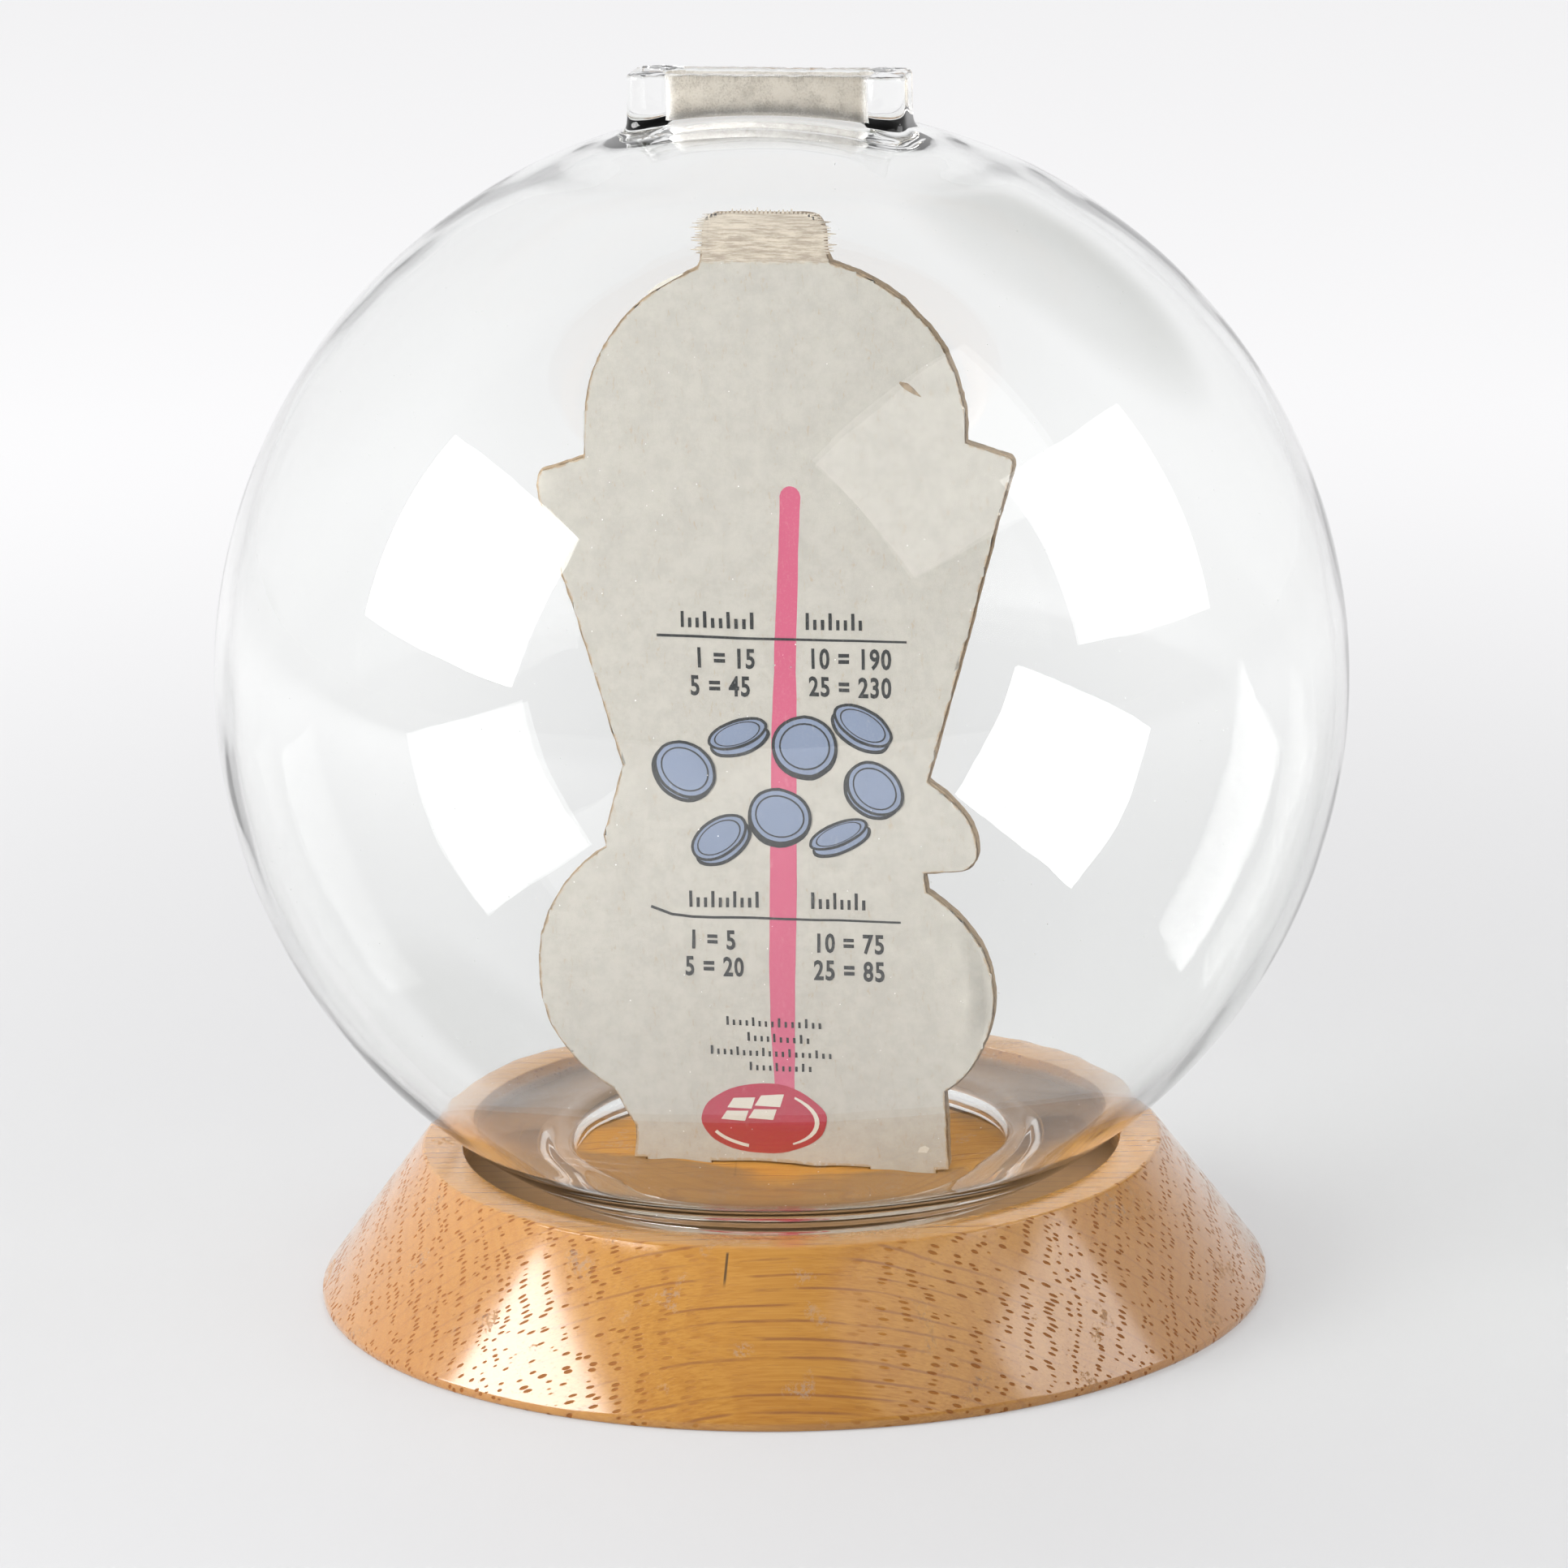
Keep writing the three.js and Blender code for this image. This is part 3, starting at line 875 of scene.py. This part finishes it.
def make_card(board, gauge, rear):
    core = make_layer("card_core", "chipboard_core", "chipboard", board, (-0.5, 0.0, 0.5), 3.0)
    front = make_layer("card_gauge_sheet", "gauge_sheet", "gauge_paper", gauge, (), 11.0, 0.26)
    back = make_layer("card_rear_sheet", "rear_sheet", "rear_paper", rear, (), 29.0, 0.12)
    for layer in (core, front, back):
        smooth(layer, 35)


# ---------- Print ----------
# Places in print are (x, height above the globe's centre). A higher layer of ink lies over a lower one.


def on_card(x, z, layer):
    return Vector((x, CARD_FACE - (0.5 + layer) * 2 * INK, z + CENTRE.z)) * MM


def thicken(obj):
    """Gives a flat patch of ink its thickness, towards the viewer of the card."""
    apply(obj, "SOLIDIFY", thickness=INK * MM, offset=0)
    face_outwards(obj)
    return obj


def patch(corners, layer):
    """A filled shape through corners, drawn as a disc whose points are moved to them."""
    deselect()
    bpy.ops.mesh.primitive_circle_add(vertices=len(corners), radius=MM, fill_type="NGON")
    obj = bpy.context.object
    for v, (x, z) in zip(obj.data.vertices, corners):
        v.co = on_card(x, z, layer)
    return thicken(obj)


def stroke(points, layer):
    """A line of ink through points (x, z, width): a narrow plane, extruded from point to point."""
    deselect()
    bpy.ops.mesh.primitive_plane_add(size=MM)
    obj = bpy.context.object
    pairs = []
    for i, (x, z, width) in enumerate(points):
        ahead = points[min(i + 1, len(points) - 1)]
        behind = points[max(i - 1, 0)]
        along = Vector((ahead[0] - behind[0], ahead[1] - behind[1])).normalized() * width / 2
        pairs.append(((x - along.y, z + along.x), (x + along.y, z - along.x)))
    edit(obj, "EDGE")
    bm = bmesh.from_edit_mesh(obj.data)
    verts = sorted(bm.verts, key=lambda v: (v.co.x, v.co.y))
    for v, place in zip(verts, (pairs[0][1], pairs[0][0], pairs[1][1], pairs[1][0])):
        v.co = on_card(*place, layer)
    lead = verts[2:]
    for pair in pairs[2:]:
        bpy.ops.mesh.select_all(action="DESELECT")
        next(e for e in lead[0].link_edges if e.other_vert(lead[0]) is lead[1]).select_set(True)
        bpy.ops.mesh.extrude_edges_move()
        bm = bmesh.from_edit_mesh(obj.data)
        new = [v for v in bm.verts if v.select]
        new.sort(key=lambda v: min((v.co - old.co).length for old in lead[:1]))
        for v, place in zip(new, (pair[1], pair[0])):
            v.co = on_card(*place, layer)
        lead = new
    bmesh.update_edit_mesh(obj.data)
    done()
    return thicken(obj)


def figures(text, x, z, squeeze=0.74):
    """Plain upright numerals, condensed, with their foot at z and their left side at x."""
    deselect()
    bpy.ops.object.text_add()
    obj = bpy.context.object
    obj.data.body = text
    obj.data.size = FIGURE_HEIGHT * 1.42 * MM
    obj.data.offset = 0.11 * MM
    obj.data.extrude = INK / 2 * MM
    obj.data.resolution_u = 3
    obj.data.space_character = 1.12
    bpy.ops.object.convert(target="MESH")
    for v in obj.data.vertices:
        v.co = Vector((v.co.x * squeeze, -v.co.z, v.co.y)) + on_card(x, z, 1)
    edit(obj, "FACE")
    bpy.ops.mesh.select_all(action="SELECT")
    bpy.ops.mesh.remove_doubles(threshold=0.001 * MM)
    done()
    face_outwards(obj)
    return obj


def gather(parts, name, material):
    """Joins patches of one ink into one piece."""
    deselect()
    for part in parts:
        part.select_set(True)
    bpy.context.view_layer.objects.active = parts[0]
    bpy.ops.object.join()
    return settle(bpy.context.object, name, "card", slot="gauge_paper", material=material)


def column_points():
    """The gauge's column, from the bulb up: nearly straight, unevenly hand-cut, with a round top."""
    low, high = Vector((-0.5, -63.5)), Vector((1.9, 28.6))
    radius = 1.5
    points = []
    for i in range(46):
        t = i / 45
        p = low.lerp(high - Vector((0, radius)), t)
        lean = (high.x - low.x) * (t * t - t)
        swell = 0.34 * math.sin(math.pi * (1 - t) ** 1.8)
        width = 2 * radius * (1 + swell) + 0.22 * noise.noise(Vector((0, 0, i / 2.2)))
        points.append((p.x + lean + 0.1 * noise.noise(Vector((5, 0, i / 6))), p.y, width))
    for a in (25, 50, 70, 84):
        s = math.radians(a)
        points.append((high.x, high.y - radius + radius * math.sin(s), 2 * radius * math.cos(s)))
    return points


def oval(x, z, rx, rz, tilt=0.0, count=32, wobble=0.0):
    points = []
    for i in range(count):
        a = 2 * math.pi * i / count
        grow = 1 + wobble * noise.noise(Vector((math.cos(a), math.sin(a), x)) * 2)
        u, v = rx * grow * math.cos(a), rz * grow * math.sin(a)
        across = u * math.cos(tilt) - v * math.sin(tilt)
        points.append((x + across, z + u * math.sin(tilt) + v * math.cos(tilt)))
    return points


# Coins in flight between the two tables: (x, z, how wide open, tilt in degrees)
COINS = [
    (-14.6, -14.2, 0.85, -35), (-6.6, -8.6, 0.45, 20), (3.4, -10.2, 0.95, 0), (12.2, -6.8, 0.55, -28),
    (-9.8, -24.2, 0.6, 35), (-0.6, -20.8, 0.9, -15), (8.2, -23.4, 0.4, 24), (13.8, -16.2, 0.8, -40),
]


def draw_coins():
    """Each coin is a dark disc with its face and its milled edge laid over it in two inks."""
    dark, blue = [], []

    def disc(x, z, long, short, turn, layer, wobble=0.03):
        return patch(oval(x, z, long, short, turn, COIN_POINTS, wobble), layer)

    for x, z, wide, tilt in COINS:
        turn = math.radians(tilt)
        thick = Vector((math.sin(turn), -math.cos(turn))) * COIN_THICKNESS * math.sqrt(1 - wide ** 2)
        full, inner = COIN_RADIUS, COIN_RADIUS - COIN_LINE
        dark.append(disc(x + thick.x, z + thick.y, full, full * wide, turn, 1))
        blue.append(disc(x + thick.x * 0.75, z + thick.y * 0.75, inner, inner * wide, turn, 2))
        dark.append(disc(x, z, full, full * wide, turn, 3))
        blue.append(disc(x, z, inner, full * wide - COIN_LINE, turn, 4))
        dark.append(disc(x, z, inner - 0.6, (inner - 0.6) * wide - 0.1, turn, 5, 0.0))
        blue.append(disc(x, z, inner - 0.85, (inner - 0.85) * wide - 0.12, turn, 6, 0.0))
    return dark, blue


# What a filling to each level is worth, as plain sums: (x, z, text)
SUMS = [
    (-12.6, 1.3, "1 = 15"), (4.2, 1.6, "10 = 190"), (-13.4, -2.9, "5 = 45"), (4.2, -2.6, "25 = 230"),
    (-14.6, -41.4, "1 = 5"), (4.3, -41.6, "10 = 75"), (-15.2, -45.6, "5 = 20"), (4.3, -45.8, "25 = 85"),
]


def level_marks(z):
    """A short scale over each rule, in place of a heading."""
    marks = []
    for start, count in ((-14.2, 10), (4.2, 8)):
        for i in range(count):
            height = 2.5 if i % 3 == 0 else 1.5
            x = start + i * 1.12
            marks.append(stroke([(x, z, SCALE_WIDTH), (x, z + height, SCALE_WIDTH)], 1))
    return marks


def rule(left, right, z, droop):
    """A thin rule with a slightly uneven line; droop lifts its far left end."""
    points = []
    for i in range(13):
        t = i / 12
        x = left + (right - left) * t
        rise = droop * max(0, 1 - t * 6) ** 2
        waver = 0.05 * noise.noise(Vector((i, 0, z)))
        points.append((x, z + rise - 0.25 * t + waver, 0.42 - 0.1 * t))
    return stroke(points, 1)


def small_marks():
    """Four fine scales above the bulb."""
    marks = []
    for row, (left, count) in enumerate([(-9.0, 15), (-5.8, 10), (-11.6, 19), (-5.6, 10)]):
        z = -53.2 - row * 2.35
        for i in range(count):
            height = 1.35 if i % 4 == 0 else 0.85
            x = left + i
            marks.append(stroke([(x, z, FINE_WIDTH), (x, z + height, FINE_WIDTH)], 1))
    return marks


def torn_fibres(material):
    """Wisps of torn board that stand out from both sides and the top of the hat's knob."""
    tear = CARD_FOOT - CENTRE.z + TORN_HEIGHT
    wisps = []
    for side, edge in ((-1, -10.3), (1, 7.9)):
        for i in range(17):
            up = tear + 1 + 0.37 * i
            reach = 0.5 + 2.6 * abs(noise.noise(Vector((3 * side, i / 1.6, 0.3))))
            start = edge - 1.0 * side * (1 + ramp(i, 10, 16) * 1.6)
            rise = 0.25 * noise.noise(Vector((side, i / 1.3, 4)))
            end = start + side * (1 + reach)
            bend = start + 0.6 * (end - start)
            wisps.append(stroke([(start, up, 0.36), (bend, up + rise, 0.27), (end, up + rise, 0.08)], 1))
    for i in range(26):
        x = -9.4 + 0.62 * i
        off_middle = abs(2 * i / 25 - 1)
        reach = 0.2 + 1.1 * abs(noise.noise(Vector((i / 1.4, 7, 0.6)))) * (1 - off_middle ** 4)
        up = tear + 7 - 1.3 * off_middle ** 6
        wisps.append(stroke([(x, up, 0.5), (x + 0.1, up + 0.5 + reach, 0.14)], 1))
    gather(wisps, "torn_fibres", material)


def scraps(material, board):
    """A strip peeled along the hat's dome, a crumb by the foot and a flake of board on the hat."""
    strip = stroke([(-18.3, 56.8, 0.2), (-16.6, 57.9, 0.55), (-14.8, 58.9, 0.5), (-13.1, 59.6, 0.15)], 2)
    crumb = patch([(19.2, -72.3), (20.6, -72.4), (21.0, -71.6), (20.3, -71.2), (19.5, -71.5)], 2)
    flake = stroke([(18.3, 44.1, 0.3), (19.3, 43.6, 1.0), (20.3, 42.9, 0.75), (21.5, 42.1, 0.12)], 1)
    gather([flake], "board_flake", board)
    gather([strip, crumb], "paper_scraps", material)


def bulb_window():
    """The highlight on the bulb: a window of four panes, and a curved sliver on each side of it."""
    panes = []
    for i in range(2):
        for j in range(2):
            x = BULB_X - 6.5 + i * 4.3 + j * 1.1
            z = BULB_Z - 0.2 + j * 2.15 + i * 0.45
            corners = [(x, z), (x + 3.8, z - 0.1), (x + 4.4, z + 1.7), (x + 1.0, z + 1.55)]
            panes.append(patch(corners, 2))
    right = [math.radians(-58 + 112 * i / 12) for i in range(13)]
    swell = [0.12 + 0.55 * math.cos(a) ** 2 for a in right]
    sliver = [(BULB_X + 7.9 * math.cos(a) + 0.2, BULB_Z + 4.6 * math.sin(a), w) for a, w in zip(right, swell)]
    panes.append(stroke(sliver, 2))
    below = [math.radians(208 + 46 * i / 8) for i in range(9)]
    panes.append(stroke([(BULB_X + 8.3 * math.cos(a), BULB_Z + 4.8 * math.sin(a), 0.5) for a in below], 2))
    return panes


def print_card(gauge, board):
    black = ink("ink_black", (0.022, 0.024, 0.026, 1), (0.20, 0.19, 0.175, 1), 0.75)
    blue = ink("ink_slate_blue", (0.19, 0.23, 0.325, 1), (0.36, 0.375, 0.40, 1), 0.8)
    pink = ink("ink_pink", (0.48, 0.092, 0.165, 1), (0.56, 0.25, 0.29, 1), 0.8)
    pale = ink("ink_bare_paper", (0.60, 0.565, 0.50, 1), (0.46, 0.42, 0.35, 1), 0.9)
    red = ink("ink_red", (0.37, 0.018, 0.052, 1), (0.46, 0.16, 0.18, 1), 0.8, CENTRE.z + BULB_Z - 0.5)
    gather([stroke(column_points(), 0)], "gauge_column", pink)
    gather([patch(oval(BULB_X, BULB_Z, 9.5, 5.7, 0.02, 48, 0.04), 1)], "gauge_bulb", red)
    gather(bulb_window(), "bulb_highlight", pale)
    torn_fibres(gauge)
    scraps(pale, board)
    coins_dark, coins_blue = draw_coins()
    gather(coins_blue, "coin_faces", blue)
    dark = coins_dark + level_marks(7.2) + level_marks(-34.9) + small_marks()
    dark += [rule(-18.2, 18.9, 5.9, 0.0), rule(-20.4, 17.4, -36.4, 1.4)]
    dark += [figures(text, x, z) for x, z, text in SUMS]
    gather(dark, "gauge_scale", black)


# ---------- Floor, light and camera ----------


def direction(azimuth, elevation):
    """Unit vector from the globe's centre. Azimuth 0 is straight in front, positive towards +X."""
    a, e = math.radians(azimuth), math.radians(elevation)
    return Vector((math.sin(a) * math.cos(e), -math.cos(a) * math.cos(e), math.sin(e)))


def make_floor():
    deselect()
    bpy.ops.mesh.primitive_plane_add(size=14)
    floor = bpy.context.object
    floor.name = "floor"
    made, tree, shader = new_material("pale_floor", base_color=(0.36, 0.36, 0.363, 1), roughness=0.6,
                                      specular_ior_level=0.15, emission_strength=1.0)
    # The floor glows as well as reflecting the lamps: painted light, dimmer near the globe and brighter
    # further from it
    place = add(tree, "TexCoord").outputs["Object"]
    away = add(tree, "VectorMath", {"operation": "LENGTH"}, {0: place}).outputs["Value"]
    lift = span(tree, away, 0.05, 0.7, 0.31, 0.62)
    glow = blend(tree, 1.0, (1.0, 0.995, 1.005, 1), lift, "MULTIPLY")
    tree.links.new(glow, shader.inputs["Emission Color"])
    floor.data.materials.append(made)


def make_lamp(name, azimuth, elevation, distance, width, height, radiance, roll):
    """A softbox that faces the globe."""
    lamp = bpy.data.lights.new(name, "AREA")
    lamp.shape = "RECTANGLE"
    lamp.size, lamp.size_y = width, height
    lamp.energy = radiance * math.pi * width * height
    obj = bpy.data.objects.new(name, lamp)
    bpy.context.scene.collection.objects.link(obj)
    out = direction(azimuth, elevation)
    turn = out.to_track_quat("Z", "Y").to_matrix() @ Matrix.Rotation(math.radians(roll), 3, "Z")
    obj.matrix_world = Matrix.Translation(CENTRE * MM + out * distance) @ turn.to_4x4()


def make_world():
    """A white room, dimmer behind the camera and overhead, with two dull greenish openings."""
    world = bpy.data.worlds.new("studio")
    bpy.context.scene.world = world
    world.use_nodes = True
    tree = world.node_tree
    way = add(tree, "TexCoord").outputs["Generated"]
    behind = vector_node(tree, "DOT_PRODUCT", way, tuple(direction(VIEW_AZIMUTH, 0)))
    level = span(tree, behind, -0.1, 0.95, 0.92, 0.48)
    above = vector_node(tree, "DOT_PRODUCT", way, tuple(direction(VIEW_AZIMUTH, 60)))
    level = times(tree, level, span(tree, above, 0.3, 0.9, 1.0, 0.35))
    colour = blend(tree, 1.0, (1.0, 1.0, 1.01, 1), level, "MULTIPLY")
    for azimuth, elevation, inner, outer in ((150, 36, 0.985, 0.925), (-118, -20, 0.98, 0.93)):
        near = vector_node(tree, "DOT_PRODUCT", way, tuple(direction(azimuth, elevation)))
        colour = blend(tree, span(tree, near, outer, inner), colour, (0.12, 0.13, 0.085, 1))
    tree.links.new(colour, tree.nodes["Background"].inputs["Color"])


# Name, azimuth, elevation, distance, width, height, radiance and roll, in degrees and metres
SOFTBOXES = [
    ("left_softbox", -60.9, 23.5, 1.1, 0.77, 0.59, 11.5, -4),
    ("right_softbox", 90.8, 24.6, 1.1, 0.69, 0.62, 2.9, -7),
    ("ceiling_softbox", 61.9, 48.7, 1.3, 0.99, 0.72, 0.9, 7),
]


def make_lights():
    make_world()
    for lamp in SOFTBOXES:
        make_lamp(*lamp)


def make_camera():
    data = bpy.data.cameras.new("camera")
    data.lens = VIEW_LENS
    data.sensor_width = 36
    data.clip_end = 50
    camera = bpy.data.objects.new("camera", data)
    bpy.context.scene.collection.objects.link(camera)
    away = direction(VIEW_AZIMUTH, VIEW_ELEVATION)
    right = Vector((0, 0, 1)).cross(away).normalized()
    up = away.cross(right)
    forward = (up * math.tan(math.radians(VIEW_PITCH)) - away).normalized()
    up = right.cross(forward)
    roll = math.radians(VIEW_ROLL)
    tipped = right * math.cos(roll) + up * math.sin(roll)
    up = up * math.cos(roll) - right * math.sin(roll)
    turn = Matrix((tipped, up, -forward)).transposed()
    camera.matrix_world = Matrix.Translation(CENTRE * MM + away * VIEW_DISTANCE) @ turn.to_4x4()
    bpy.context.scene.camera = camera
    bpy.context.scene.view_settings.view_transform = "Standard"


# ---------- Assembly ----------

make_camera()
make_base(oak())
make_globe(clear_glass(), frosted_glass())
gauge = paper("gauge_paper", (0.455, 0.431, 0.388, 1), (0.40, 0.33, 0.25, 1), (0.38, 0.28, 0.18, 1),
              CARD_FOOT + TORN_HEIGHT)
rear = paper("rear_paper", (0.47, 0.43, 0.34, 1), (0.42, 0.33, 0.22, 1), (0.42, 0.31, 0.20, 1))
board = chipboard()
make_card(board, gauge, rear)
print_card(gauge, board)
make_floor()
make_lights()
